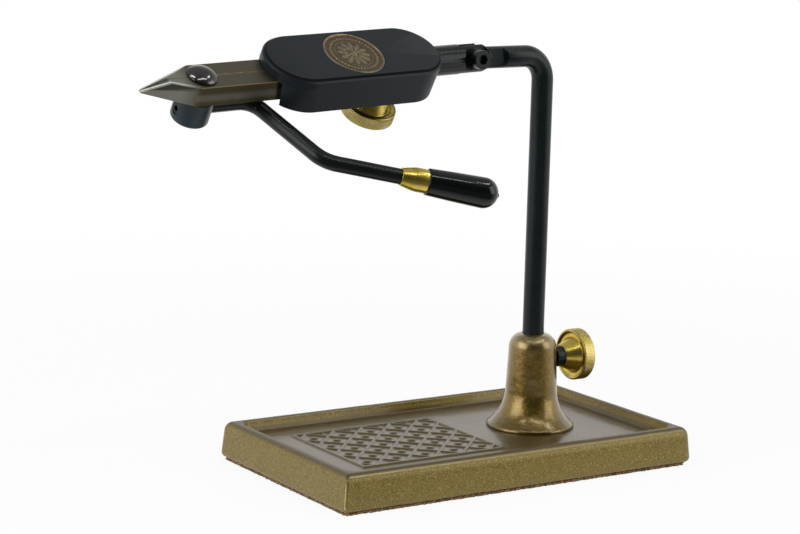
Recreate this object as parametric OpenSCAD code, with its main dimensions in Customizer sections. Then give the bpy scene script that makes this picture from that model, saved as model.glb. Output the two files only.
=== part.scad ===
// Fly tying vise: a heavy tray base with a stem socket, a bent stem, and a head that
// tilts and turns, with two long spring jaws that a squeezed cam lever opens.
// Lengths in mm. +Z up, X along the base, Y away from the viewer, origin under the base.

/* [Base] */
// Length of the base along X
base_l = 181.3; // [150:1:240]
// Width of the base along Y
base_w = 107.2; // [90:1:150]
// Height of the base with its cork sheet
base_h = 16.6; // [13.8:0.2:24]
// Thickness of the cork sheet
cork_t = 1.6; // [0.8:0.1:3]
// How far the cork sheet stays inside the base's edge
cork_inset = 0.4; // [0.2:0.1:2]
// How far the base's sides lean in from foot to top
base_draft = 1.8; // [0:0.1:2]
// Rounding of the base's top outer edge
base_edge_r = 4; // [1:0.1:4]
// Width of the rim round the tray
rim_w = 7.4; // [6.9:0.1:14]
// Depth of the tray
tray_depth = 4.6; // [1.8:0.1:6]
// How far the tray's walls lean in from rim to floor
tray_draft = 1.1; // [0:0.1:2]
// Corner radius of the tray at its rim
tray_corner_r = 5; // [4:0.5:12]
// Rounding of the rim's inner edge
tray_edge_r = 1.2; // [0.4:0.1:1.4]
// Distance of the raised pattern from the tray's walls and the socket's foot
relief_margin = 14.9; // [12:0.1:18]
// Distance between the pattern's crossing lines along X
relief_pitch = 14.5; // [12:0.5:24]
// Height of the pattern
relief_h = 0.7; // [0.3:0.1:1]
// Width of the pattern's lines
relief_line_w = 1.3; // [0.8:0.1:2]
// Width of the pattern's frame
relief_frame_w = 2; // [1:0.1:3]
// Radius of the studs between the lines
relief_stud_r = 2; // [1:0.1:3]

/* [Stem socket] */
// Distance of the stem from the base's middle along X
stem_x = 39.2; // [0:0.5:55]
// Radius of the socket's flared foot
socket_foot_r = 19.6; // [17:0.2:26]
// Height of the flare's upright lip
socket_lip_t = 1.2; // [0.6:0.1:2.5]
// Radius of the socket above its flare
socket_waist_r = 11.5; // [11:0.1:14]
// Height of the flare's upper end above the tray floor
socket_waist_h = 17; // [12:0.5:19]
// Radius of the socket below its rounded shoulder
socket_shoulder_r = 10.6; // [9.6:0.1:13]
// Height of the shoulder above the tray floor
socket_shoulder_h = 35.9; // [34:0.5:45]
// Radius of the rounded shoulder
socket_round_r = 6.3; // [3:0.1:7]
// Depth of the stem's bore
socket_bore_depth = 32; // [28:0.5:34]
// Radius of the screw that holds the socket from below
socket_screw_r = 4; // [3:0.5:4.5]
// Radius of that screw's head
socket_screw_head_r = 6.5; // [5.5:0.5:7.5]
// Height of that screw's head
socket_screw_head_h = 5; // [3:0.5:6]
// Reach of that screw's thread into the socket
socket_screw_reach = 8.5; // [5:0.5:9]

/* [Thumbscrews] */
// Height of the base thumbscrew above the tray floor
thumb_z = 30.2; // [27:0.2:31]
// Radius of both thumbscrews' threads
thumb_thread_r = 2.9; // [2.4:0.1:3.4]
// Radius of the black collar beside each knob
thumb_collar_r = 4.7; // [3.8:0.1:5.5]
// Length of the base thumbscrew's collar
thumb_collar_l = 4.3; // [3:0.1:9]
// Radius of the knobs
knob_r = 11.5; // [10.8:0.1:13]
// Radius of the knob's cone at its foot
knob_cone_r = 8; // [6:0.1:8.6]
// Length of the knob's cone
knob_cone_l = 6.7; // [5:0.1:10]
// Radius of the dish's flat floor round the cone
knob_dish_r = 9.5; // [9:0.1:10]
// Height of the knob's rim
knob_rim_h = 5.7; // [4.5:0.1:7]
// How far the rim reaches up past the cone's foot
knob_rim_lip = 1; // [0.5:0.1:2]
// Thickness of the knob's closed back
knob_back_t = 1.4; // [0.8:0.1:2]
// Chamfer of the knob's edges
knob_chamfer = 0.5; // [0.2:0.1:0.8]

/* [Stem] */
// Diameter of the stem
stem_d = 9.525; // [8:0.125:11]
// Height of the stem's arm above the table
arm_z = 177.4; // [150:1:220]
// Radius of the bend between stem and arm
arm_bend_r = 10.8; // [9:0.2:16]
// Distance from the stem's axis to the head's tilt axis
arm_reach = 41.6; // [38:0.2:70]
// Angle that the arm is swung towards the viewer
arm_swing = 4.54; // [-180:1:180]
// Thickness of the arm's flat end
tongue_t = 4.8; // [4:0.1:6]
// Distance from the tilt axis to the end of the flats
tongue_reach = 18.5; // [14:0.5:22]
// Radius of the flats' rounded end
tongue_cutter_r = 5; // [5:0.1:5.6]
// Section of the ring near the stem's foot
ring_section = 1.4; // [1:0.1:1.8]
// Distance of the ring above the stem's foot
ring_up = 3; // [2:0.1:5]

/* [Tilting shaft] */
// Diameter of the head shaft
shaft_d = 12.7; // [12:0.1:13]
// Distance from the tilt axis to the shaft's inner end
shaft_l = 49.5; // [48.5:0.5:50]
// Angle that the head points down
head_tilt = 2.22; // [-45:1:45]
// Radius of the fork's rounded end
fork_end_r = 7.5; // [6.6:0.1:9]
// Distance from the tilt axis to the bottom of the fork's slot
fork_slot_l = 7; // [6:0.2:12]
// Radius of the flat under the clevis screw's head
spotface_r = 6.9; // [6:0.1:8]
// Distance of that flat from the shaft's middle
spotface_y = 4.1; // [3.8:0.1:4.6]
// Radius of the clevis screw's thread
clevis_screw_r = 2.4; // [2:0.1:2.8]
// Radius of the clevis screw's head
clevis_head_r = 4.1; // [3.6:0.1:4.4]
// Height of the clevis screw's head
clevis_head_h = 4.8; // [3:0.1:6]
// Thickness of the clevis washer
clevis_washer_t = 0.8; // [0.5:0.1:1.5]
// Radius of the clevis washer
clevis_washer_r = 4.75; // [4.5:0.05:5.5]
// Chamfer of the shaft's end
shaft_chamfer = 0.6; // [0.2:0.1:1]
// Depth of the groove that holds the shaft in the head
shaft_groove_depth = 1.3; // [0.9:0.1:2]

/* [Head body] */
// Angle that the head is turned about its shaft
head_roll = 31.66; // [-180:1:180]
// Distance from the tilt axis to the head body's rear end
head_start = 20.8; // [20.4:0.2:26]
// Length of the head body
head_l = 84.7; // [82:0.1:85.5]
// Half the width of the head body
head_half_w = 15.9; // [15.3:0.1:18]
// Top of the head body above the shaft's axis
head_top = 7.95; // [7.8:0.05:10]
// Bottom of the head body below the shaft's axis
head_bottom = 7.95; // [7.6:0.05:8.4]
// Chamfer of the head body's top edge
head_edge = 1.5; // [0.6:0.1:1.8]
// Angle that the head body's lower front end leans back
nose_lean = 11; // [2:1:14]
// Height above the shaft's axis where the front end starts to lean
nose_bend = 3.8; // [3:0.1:4.2]
// Length over which the jaws' slot is open below, from the head body's front
slot_open_l = 14; // [10:0.5:16]
// Distance from the tilt axis to the tension knob
tension_u = 44.8; // [43:0.2:45]
// Length of the tension knob's collar
tension_collar_l = 5.6; // [3:0.1:8]
// Distance from the tilt axis to the medallion
medallion_u = 63.6; // [60:0.2:68]
// Radius of the medallion
medallion_r = 13.4; // [10:0.1:13.6]
// Depth of the medallion's seat
medallion_seat = 1.2; // [0.8:0.1:1.4]
// Width of the medallion's raised rim
medallion_rim_w = 0.9; // [0.6:0.1:2]

/* [Jaws] */
// Length of the jaws inside the head body, from its front end
jaw_seat_l = 31.5; // [30.5:0.5:34.5]
// Distance from the tilt axis to where the jaws start to taper
jaw_shoulder = 138.1; // [137:0.5:142]
// Distance from the tilt axis to the jaws' tips
jaw_tip = 161.5; // [156:0.5:175]
// Width of one jaw with half the slit
jaw_half_w = 7.5; // [7:0.1:8]
// Slit between the jaws
jaw_slit = 0.3; // [0.2:0.05:0.4]
// Top of the jaws above the shaft's axis
jaw_top = 2.66; // [2:0.05:3]
// Bottom of the jaws below the shaft's axis
jaw_bottom = 6.52; // [6:0.05:7]
// Height of the tip
jaw_tip_h = 1; // [0.6:0.1:2]
// Width of one jaw at its tip
jaw_tip_w = 0.6; // [0.4:0.1:1.5]
// Distance of the tip below the shaft's axis
jaw_tip_drop = 2.05; // [1:0.05:3]
// Distance from the tilt axis to the start of the jaws' top facets
jaw_facet = 150; // [145:0.5:154]
// Half width of the jaws there
jaw_facet_w = 2.12; // [1.5:0.1:4]
// Distance of the root pins from the jaws' roots
jaw_pin_in = 6; // [4:0.5:7]
// Radius of the root pins
jaw_pin_r = 2; // [1.5:0.1:2.2]
// Room beside each jaw in the head body
jaw_side_room = 1.8; // [1.2:0.1:2.4]

/* [Cam and lever] */
// Distance from the tilt axis to the cam pin
cam_u = 134.7; // [130:0.5:136]
// Radius of the cam
cam_r = 3.4; // [3:0.1:3.6]
// Distance of the cam's flats from its axis
cam_flat = 2.2; // [2:0.1:2.8]
// Radius of the pin's domed head
dome_r = 6.3; // [5.5:0.1:7.2]
// Height of the pin's domed head
dome_h = 2.3; // [1.8:0.1:4.5]
// Height of the dome's upright edge
dome_edge = 0.5; // [0.2:0.1:1]
// Radius of the hub
hub_r = 7.85; // [7:0.05:9]
// Height of the hub
hub_h = 11.2; // [10.2:0.1:13]
// Rounding of the hub's lower edge
hub_round_r = 1.5; // [0.5:0.1:2]
// Radius of the hub's set screw
set_screw_r = 2.4; // [2:0.1:2.8]
// Radius of the lever rod
lever_r = 3.175; // [2.8:0.05:3.3]
// Depth of the lever's axis below the shaft's axis
lever_drop = 12.35; // [12.35:0.05:13.5]
// Length of the lever from the pin to its first corner
lever_first = 27.7; // [25:0.5:34]
// Length of the lever between its corners
lever_second = 42.2; // [36:0.5:50]
// Length of the lever from its second corner to the grip's end
lever_third = 73.8; // [68:0.5:90]
// Angle of the lever's first corner
lever_turn_1 = 74.9; // [70:0.5:80]
// Angle of the lever's second corner
lever_turn_2 = 48.8; // [44:0.5:54]
// Radius of the first bend
lever_bend_1 = 8; // [6:0.5:12]
// Radius of the second bend
lever_bend_2 = 12; // [8:0.5:16]
// Length of the ferrule that shows
ferrule_l = 11; // [8:0.5:16]
// Radius of the ferrule's thin end
ferrule_thin_r = 3.6; // [3.5:0.1:4.5]
// Radius of the ferrule
ferrule_r = 4.9; // [4.6:0.1:5.2]
// Length of the grip
grip_l = 31; // [26:0.5:45]
// Radius of the grip where it starts
grip_start_r = 5.5; // [5.3:0.1:7]
// Radius of the grip near its end
grip_end_r = 6.35; // [5.8:0.05:8]
// Radius of the drop at the grip's end
grip_drop_r = 1.4; // [0.8:0.1:2]

/* [Fits] */
// Running clearance of shafts and screws, on the radius
run_fit = 0.06; // [0.03:0.01:0.09]
// Gap between flat faces that slide
face_gap = 0.1; // [0.05:0.01:0.2]
// Gap between pieces that move apart
part_gap = 0.3; // [0.2:0.05:0.4]
// Gap round pieces that stay in their seats
seat_gap = 0.1; // [0.03:0.01:0.15]

/* [Hidden] */
$fn = 72;
hex_sides = 6;
// overrun of every cut past the face it opens
over = 1;
half_turn = 180;
quarter_turn = 90;
// how much the lever and the head's nose swell in their bends, and how far each run
// reaches into them
bend_swell = 0.03;
// how much the base's corners stand out of its sides, so that they meet in clean lines
corner_swell = 0.02;
bend_lap = 0.2;

stem_r = stem_d / 2;
shaft_r = shaft_d / 2;
metal_h = base_h - cork_t;
tray_floor_z = base_h - tray_depth;
base_lean = atan2(base_draft, metal_h);
base_corner_r = (base_edge_r + (metal_h - base_edge_r) * sin(base_lean)) / cos(base_lean);
tray_fillet_r = tray_edge_r;
relief_start = rim_w + tray_draft + relief_margin - base_l / 2;
relief_end = stem_x - socket_foot_r - relief_margin;
relief_w = base_w - (rim_w + tray_draft + relief_margin) * 2;
bore_r = stem_r + run_fit;
socket_top_h = socket_shoulder_h + socket_round_r;
stem_foot_h = socket_top_h - socket_bore_depth + part_gap;
stem_foot_z = tray_floor_z + stem_foot_h;
socket_flare_r = (pow(socket_foot_r - socket_waist_r, 2)
    + pow(socket_waist_h - socket_lip_t, 2)) / (socket_foot_r - socket_waist_r) / 2;
thumb_seat_share = (thumb_z - socket_waist_h) / (socket_shoulder_h - socket_waist_h);
thumb_seat_x = socket_waist_r - (socket_waist_r - socket_shoulder_r) * thumb_seat_share;
thumb_hole_r = thumb_thread_r + run_fit;
tip_l = 1.2;
tip_r = thumb_thread_r * 0.8;
ring_outer_r = bore_r - run_fit;
ring_middle_r = ring_outer_r - ring_section / 2;
ring_groove_r = ring_outer_r - ring_section - run_fit;
ring_groove_w = ring_section + run_fit * 4;
hub_top = jaw_bottom + part_gap;
hub_bottom = hub_top + hub_h;
dome_foot = jaw_top + part_gap;
dome_sphere_r = (pow(dome_r, 2) + pow(dome_h, 2)) / dome_h / 2;
cam_shank_r = cam_r;
notch_depth = cam_flat + face_gap;
notch_half_l = cam_r + part_gap;
pin_v = (jaw_slit / 2 + jaw_half_w) / 2;
body_front = head_start + head_l;
jaw_root = body_front - jaw_seat_l;
pin_u = jaw_root + jaw_pin_in;
slot_roof = jaw_top + face_gap;
nose_u = head_l - head_half_w;
shaft_bore_end = shaft_l + part_gap * 3;
groove_r = shaft_r - shaft_groove_depth;
shoe_r = thumb_thread_r * 0.82;
shoe_t = 1;
hex_share = 0.55;
socket_depth_share = 0.5;
jaw_side_angle = atan2(jaw_half_w - jaw_facet_w, jaw_facet - jaw_shoulder);
jaw_tip_top = -jaw_tip_drop + jaw_tip_h / 2;
jaw_tip_side = jaw_slit / 2 + jaw_tip_w;
jaw_line_side = jaw_half_w - (jaw_tip - jaw_shoulder) * tan(jaw_side_angle);
jaw_side_lean = atan2((jaw_tip_side - jaw_line_side) * cos(jaw_side_angle),
    jaw_top - jaw_tip_top);

// Places of the moving groups

module at_arm() {
    translate([stem_x, 0, arm_z]) rotate([0, 0, half_turn + arm_swing]) children();
}

module at_tilt() {
    at_arm() translate([arm_reach, 0, 0]) rotate([0, head_tilt, 0]) children();
}

module at_head() {
    at_tilt() rotate([-head_roll, 0, 0]) children();
}

module at_grip_line() {
    at_head() translate([cam_u, 0, -lever_drop]) rotate([0, 0, half_turn])
        translate([lever_first, 0, 0]) rotate([0, 0, -lever_turn_1])
        translate([lever_second, 0, 0]) rotate([0, 0, lever_turn_2])
        rotate([0, quarter_turn, 0]) children();
}

module along_x() {
    rotate([0, quarter_turn, 0]) children();
}

module towards_viewer() {
    rotate([-quarter_turn, 0, 0]) children();
}

// Section of a slab whose sides lean in and whose top edges are rounded
module slab_section(w, h, draft, r) {
    lean = atan2(draft, h);
    cx = w / 2 - (r + (h - r) * sin(lean)) / cos(lean);
    tx = cx + r * cos(lean);
    ty = h - r + r * sin(lean);
    polygon([[-w / 2, 0], [w / 2, 0], [tx, ty], [cx, h - r], [cx, h],
        [-cx, h], [-cx, h - r], [-tx, ty]]);
    translate([cx, h - r]) circle(r = r);
    translate([-cx, h - r]) circle(r = r);
}

// Section of the tray: leaning walls, a fillet at the floor and a rounded rim
module tray_section(w) {
    floor_half = w / 2 - tray_draft;
    wall_h = tray_depth - tray_edge_r;
    polygon([[-floor_half + tray_fillet_r, 0], [floor_half - tray_fillet_r, 0],
        [floor_half - tray_fillet_r, tray_fillet_r], [floor_half, tray_fillet_r],
        [w / 2, wall_h], [w / 2, tray_depth + over], [-w / 2, tray_depth + over],
        [-w / 2, wall_h], [-floor_half, tray_fillet_r],
        [-floor_half + tray_fillet_r, tray_fillet_r]]);
    for (side = [-1, 1]) {
        translate([side * (floor_half - tray_fillet_r), tray_fillet_r])
            circle(r = tray_fillet_r);
        difference() {
            translate([side * (w / 2 + (tray_edge_r - over) / 2),
                wall_h + (tray_edge_r + over) / 2])
                square([tray_edge_r + over, tray_edge_r + over], center = true);
            translate([side * (w / 2 + tray_edge_r), wall_h]) circle(r = tray_edge_r);
        }
    }
}

// Right half of a section, for turning it
module right_half(reach) {
    intersection() {
        children();
        translate([0, -reach]) square([reach, reach * 2]);
    }
}

module corners(l, w, r) {
    for (sx = [-1, 1]) for (sy = [-1, 1])
        translate([sx * (l / 2 - r), sy * (w / 2 - r), 0]) children();
}

// Corner of the base: a cone under a ball, as both of its sides lean in. The ball's poles
// lie level, inside the base.
module base_corner() {
    r = base_edge_r + corner_swell;
    centre_h = metal_h - base_edge_r;
    cylinder(h = centre_h + r * sin(base_lean), r2 = r * cos(base_lean),
        r1 = (r + centre_h * sin(base_lean)) / cos(base_lean));
    translate([0, 0, centre_h]) rotate([0, quarter_turn, -half_turn / 4]) sphere(r = r);
}

module base_block() {
    r = base_corner_r;
    rotate([quarter_turn, 0, quarter_turn])
        linear_extrude(height = base_l - r * 2, center = true)
        slab_section(base_w, metal_h, base_draft, base_edge_r);
    rotate([quarter_turn, 0, 0])
        linear_extrude(height = base_w - r * 2, center = true)
        slab_section(base_l, metal_h, base_draft, base_edge_r);
    for (sx = [0, 1]) for (sy = [0, 1]) mirror([sx, 0, 0]) mirror([0, sy, 0])
        translate([base_l / 2 - r, base_w / 2 - r, 0]) base_corner();
}

module tray_pocket() {
    l = base_l - rim_w * 2;
    w = base_w - rim_w * 2;
    r = tray_corner_r;
    rotate([quarter_turn, 0, quarter_turn])
        linear_extrude(height = l - r * 2, center = true) tray_section(w);
    rotate([quarter_turn, 0, 0])
        linear_extrude(height = w - r * 2, center = true) tray_section(l);
    corners(l, w, r) rotate_extrude()
        right_half(tray_depth + r * 2) tray_section(r * 2);
}

// Raised pattern on the tray's floor: a frame round crossing lines with studs between them
module tray_relief() {
    l = relief_end - relief_start;
    in_l = l - relief_frame_w * 2;
    in_w = relief_w - relief_frame_w * 2;
    h = relief_h + over;
    step = relief_pitch / 2;
    rows = ceil((l + relief_w) / relief_pitch / 2);
    translate([(relief_start + relief_end) / 2, 0, tray_floor_z - over]) {
        difference() {
            translate([0, 0, h / 2]) cube([l, relief_w, h], center = true);
            translate([0, 0, h / 2]) cube([in_l, in_w, h + over * 2], center = true);
        }
        intersection() {
            translate([0, 0, h / 2]) cube([in_l + over, in_w + over, h], center = true);
            for (k = [-rows : rows]) for (turn = [-1, 1])
                translate([k * relief_pitch, 0, h / 2]) rotate([0, 0, turn * half_turn / 4])
                    cube([(l + relief_w) * 2, relief_line_w, h], center = true);
        }
        for (i = [-rows * 2 : rows * 2]) for (j = [-rows * 2 : rows * 2])
            if (abs(i + j) % 2 == 1
                    && abs(i * step) < in_l / 2 - relief_stud_r * 2
                    && abs(j * step) < in_w / 2 - relief_stud_r * 2)
                translate([i * step, j * step, 0]) cylinder(h = h, r = relief_stud_r);
    }
}

module base_casting() {
    color("darkgoldenrod") difference() {
        union() {
            difference() {
                translate([0, 0, cork_t]) base_block();
                translate([0, 0, tray_floor_z]) tray_pocket();
            }
            tray_relief();
        }
        translate([stem_x, 0, cork_t - over]) {
            cylinder(h = tray_floor_z, r = socket_screw_r + seat_gap);
            cylinder(h = socket_screw_head_h + over, r = socket_screw_head_r + seat_gap);
        }
    }
}

module cork_pad() {
    l = base_l - cork_inset * 2;
    w = base_w - cork_inset * 2;
    r = base_corner_r - cork_inset;
    color("peru") {
        translate([0, 0, cork_t / 2]) {
            cube([l - r * 2, w, cork_t], center = true);
            cube([l, w - r * 2, cork_t], center = true);
        }
        corners(l, w, r) cylinder(h = cork_t, r = r);
    }
}

// Turned bell outline of the socket, cut hollow along its flare
module socket_outline() {
    shoulder_x = socket_shoulder_r - socket_round_r;
    difference() {
        polygon([[0, 0], [socket_foot_r, 0], [socket_foot_r, socket_lip_t],
            [socket_waist_r, socket_waist_h], [socket_shoulder_r, socket_shoulder_h],
            [shoulder_x, socket_shoulder_h], [shoulder_x, socket_top_h],
            [0, socket_top_h]]);
        translate([socket_waist_r + socket_flare_r, socket_waist_h])
            circle(r = socket_flare_r);
    }
    right_half(socket_top_h * 2)
        translate([shoulder_x, socket_shoulder_h]) circle(r = socket_round_r);
}

module pedestal() {
    color("goldenrod") translate([stem_x, 0, tray_floor_z]) difference() {
        rotate_extrude() socket_outline();
        translate([0, 0, socket_top_h - socket_bore_depth])
            cylinder(h = socket_bore_depth + over, r = bore_r);
        translate([0, 0, thumb_z]) along_x()
            cylinder(h = socket_foot_r, r = thumb_hole_r);
        translate([0, 0, -over])
            cylinder(h = socket_screw_reach + over + seat_gap, r = socket_screw_r + seat_gap);
    }
}

module pedestal_screw() {
    head_z = cork_t + socket_screw_head_h;
    socket_h = socket_screw_head_h * socket_depth_share;
    color("dimgray") translate([stem_x, 0, 0]) difference() {
        union() {
            translate([0, 0, cork_t]) cylinder(h = socket_screw_head_h, r = socket_screw_head_r);
            translate([0, 0, head_z])
                cylinder(h = tray_floor_z - head_z + socket_screw_reach, r = socket_screw_r);
        }
        translate([0, 0, cork_t - over])
            cylinder(h = socket_h + over, r = socket_screw_head_r * hex_share, $fn = hex_sides);
    }
}

// Knob turned about +Z from its collar's outer face
module knob_body() {
    rim_start = knob_cone_l - knob_rim_lip;
    back = rim_start + knob_rim_h;
    rotate_extrude() polygon([[thumb_thread_r + seat_gap, 0], [thumb_collar_r, 0],
        [knob_cone_r, knob_cone_l], [knob_dish_r, knob_cone_l],
        [knob_r - knob_chamfer * 2, rim_start], [knob_r - knob_chamfer, rim_start],
        [knob_r, rim_start + knob_chamfer], [knob_r, back - knob_chamfer],
        [knob_r - knob_chamfer, back], [0, back], [0, back - knob_back_t],
        [thumb_thread_r + seat_gap, back - knob_back_t]]);
}

thread_in_knob = knob_cone_l - knob_rim_lip + knob_rim_h - knob_back_t - part_gap;

module at_thumb() {
    translate([stem_x, 0, tray_floor_z + thumb_z]) along_x() children();
}

thumb_collar_x = thumb_seat_x + part_gap + face_gap;
thumb_tip_x = stem_r + part_gap;

module thumb_screw() {
    color("darkslategray") at_thumb() {
        translate([0, 0, thumb_tip_x + tip_l])
            cylinder(h = thumb_collar_x + thumb_collar_l + thread_in_knob
                - thumb_tip_x - tip_l, r = thumb_thread_r);
        translate([0, 0, thumb_collar_x]) cylinder(h = thumb_collar_l, r = thumb_collar_r);
    }
}

module thumb_knob() {
    color("gold") at_thumb() translate([0, 0, thumb_collar_x + thumb_collar_l]) knob_body();
}

module screw_tip() {
    color("khaki") at_thumb() translate([0, 0, thumb_tip_x]) cylinder(h = tip_l, r = tip_r);
}

module stem() {
    color("dimgray") at_arm() difference() {
        union() {
            translate([0, 0, stem_foot_z - arm_z])
                cylinder(h = arm_z - arm_bend_r - stem_foot_z, r = stem_r);
            translate([arm_bend_r, 0, -arm_bend_r]) rotate([quarter_turn, 0, 0])
                rotate([0, 0, quarter_turn]) rotate_extrude(angle = quarter_turn)
                translate([arm_bend_r, 0]) circle(r = stem_r);
            translate([arm_bend_r, 0, 0]) along_x()
                cylinder(h = arm_reach - arm_bend_r, r = stem_r);
            intersection() {
                translate([arm_reach, 0, 0]) along_x() cylinder(h = stem_r, r = stem_r);
                translate([arm_reach, -stem_r, 0]) towards_viewer()
                    cylinder(h = stem_d, r = stem_r);
            }
        }
        for (side = [0, 1]) mirror([0, side, 0]) {
            translate([arm_reach - tongue_reach + tongue_cutter_r, tongue_t / 2, -stem_d])
                cube([tongue_reach + stem_r, stem_d, stem_d * 2]);
            translate([arm_reach - tongue_reach + tongue_cutter_r, tongue_t / 2, 0])
                towards_viewer() cylinder(h = stem_d, r = tongue_cutter_r);
        }
        translate([arm_reach, -stem_d, 0]) towards_viewer()
            cylinder(h = stem_d * 2, r = clevis_screw_r + run_fit);
        translate([0, 0, stem_foot_z + ring_up - ring_groove_w / 2 - arm_z]) difference() {
            cylinder(h = ring_groove_w, r = stem_d);
            translate([0, 0, -over]) cylinder(h = ring_groove_w + over * 2, r = ring_groove_r);
        }
    }
}

module stem_o_ring() {
    color("black") translate([stem_x, 0, stem_foot_z + ring_up])
        rotate_extrude() translate([ring_middle_r, 0]) circle(r = ring_section / 2);
}

module head_shaft() {
    slot_w = tongue_t + face_gap * 2;
    color("slategray") at_tilt() difference() {
        union() {
            along_x() cylinder(h = shaft_l - shaft_chamfer, r = shaft_r);
            translate([shaft_l - shaft_chamfer, 0, 0]) along_x()
                cylinder(h = shaft_chamfer, r1 = shaft_r, r2 = shaft_r - shaft_chamfer);
            intersection() {
                translate([-fork_end_r, 0, 0]) along_x() cylinder(h = fork_end_r, r = shaft_r);
                translate([0, -shaft_r, 0]) towards_viewer()
                    cylinder(h = shaft_d, r = fork_end_r);
            }
        }
        translate([-fork_end_r - over, -slot_w / 2, -shaft_d])
            cube([fork_end_r + over + fork_slot_l, slot_w, shaft_d * 2]);
        translate([0, spotface_y, 0]) towards_viewer() cylinder(h = shaft_d, r = spotface_r);
        translate([0, -shaft_d, 0]) towards_viewer()
            cylinder(h = shaft_d * 2, r = clevis_screw_r + run_fit);
        translate([tension_u - shoe_r - part_gap, 0, 0]) along_x() difference() {
            cylinder(h = (shoe_r + part_gap) * 2, r = shaft_d);
            translate([0, 0, -over]) cylinder(h = (shoe_r + part_gap + over) * 2, r = groove_r);
        }
    }
}

module clevis_screw() {
    shank_end = shaft_r - shaft_chamfer;
    head_y = spotface_y + clevis_washer_t;
    socket_h = clevis_head_h * socket_depth_share;
    color("gray") at_tilt() difference() {
        union() {
            translate([0, -shank_end, 0]) towards_viewer()
                cylinder(h = shank_end + head_y, r = clevis_screw_r);
            translate([0, head_y, 0]) towards_viewer()
                cylinder(h = clevis_head_h, r = clevis_head_r);
        }
        translate([0, head_y + clevis_head_h - socket_h, 0]) towards_viewer()
            cylinder(h = socket_h + over, r = clevis_head_r * hex_share, $fn = hex_sides);
    }
}

module clevis_washer() {
    color("darkgray") at_tilt() translate([0, spotface_y, 0]) towards_viewer() difference() {
        cylinder(h = clevis_washer_t, r = clevis_washer_r);
        translate([0, 0, -over])
            cylinder(h = clevis_washer_t + over * 2, r = clevis_screw_r + seat_gap);
    }
}

// Half space for a mitre: above the plane that leans half as far as the nose, or below it
module nose_side(side, lap) {
    big = head_l * 2;
    translate([nose_u, 0, nose_bend + lap]) rotate([0, nose_lean / 2, 0])
        translate([0, 0, side * big / 2]) cube([big, big, big], center = true);
}

// Bar with full round ends from the head's rear end forwards: chamfered along its top edge,
// with a front end that leans back below its bend
module round_bar() {
    r = head_half_w;
    rise = head_top - head_edge;
    low_u = nose_u - (nose_bend + head_bottom) * tan(nose_lean);
    translate([r, 0, -head_bottom]) cylinder(h = rise + head_bottom, r = r);
    for (x = [r, nose_u]) translate([x, 0, rise])
        cylinder(h = head_edge, r1 = r, r2 = r - head_edge);
    intersection() {
        translate([nose_u, 0, 0]) cylinder(h = rise, r = r);
        nose_side(1, 0);
    }
    intersection() {
        translate([nose_u, 0, nose_bend]) rotate([0, nose_lean, 0])
            translate([0, 0, -r * 2]) cylinder(h = r * 2 + rise, r = r + bend_swell);
        nose_side(-1, bend_lap);
        translate([nose_u, 0, rise - head_bottom])
            cube([r * 4, r * 4, rise * 2], center = true);
    }
    translate([0, r, 0]) rotate([quarter_turn, 0, 0]) linear_extrude(height = r * 2)
        polygon([[r, -head_bottom], [low_u, -head_bottom], [nose_u, nose_bend],
            [nose_u, rise], [r, rise]]);
    translate([r, 0, rise]) rotate([quarter_turn, 0, quarter_turn])
        linear_extrude(height = nose_u - r)
        polygon([[-r, 0], [r, 0], [r - head_edge, head_edge], [head_edge - r, head_edge]]);
}

module head_body() {
    room_w = jaw_half_w + jaw_side_room;
    slot_start = jaw_root - part_gap;
    color("darkslategray") at_head() difference() {
        translate([head_start, 0, 0]) round_bar();
        translate([head_start - over, 0, 0]) along_x()
            cylinder(h = shaft_bore_end - head_start + over, r = shaft_r + run_fit);
        translate([slot_start, -room_w, -jaw_bottom - face_gap])
            cube([body_front - slot_start + over, room_w * 2, jaw_bottom + face_gap + slot_roof]);
        translate([body_front - slot_open_l, -room_w, -head_bottom - over])
            cube([slot_open_l + over, room_w * 2, head_bottom + over]);
        translate([medallion_u, 0, head_top - medallion_seat])
            cylinder(h = medallion_seat + over, r = medallion_r + seat_gap);
        translate([tension_u, 0, -head_bottom - over])
            cylinder(h = head_bottom + over, r = thumb_thread_r + run_fit);
        for (side = [-1, 1]) translate([pin_u, side * pin_v, -head_bottom - over])
            cylinder(h = head_bottom + over + jaw_top + jaw_pin_r, r = jaw_pin_r + seat_gap);
    }
}

module medallion() {
    step = medallion_seat / 4;
    color("goldenrod") at_head() translate([medallion_u, 0, head_top - medallion_seat])
        difference() {
            cylinder(h = medallion_seat + step / 2, r = medallion_r);
            translate([0, 0, medallion_seat - step])
                cylinder(h = step * 2, r = medallion_r - medallion_rim_w);
        }
}

module at_tension() {
    at_head() translate([tension_u, 0, 0]) rotate([half_turn, 0, 0]) children();
}

tension_collar_z = head_bottom + part_gap;
shoe_z = groove_r + part_gap;

module tension_knob() {
    color("gold") at_tension()
        translate([0, 0, tension_collar_z + tension_collar_l]) knob_body();
}

module tension_stud() {
    color("darkslategray") at_tension() {
        translate([0, 0, shoe_z + shoe_t])
            cylinder(h = tension_collar_z + tension_collar_l + thread_in_knob
                - shoe_z - shoe_t, r = thumb_thread_r);
        translate([0, 0, tension_collar_z]) cylinder(h = tension_collar_l, r = thumb_collar_r);
    }
}

module tension_shoe() {
    color("khaki") at_tension() translate([0, 0, shoe_z]) cylinder(h = shoe_t, r = shoe_r);
}

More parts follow.
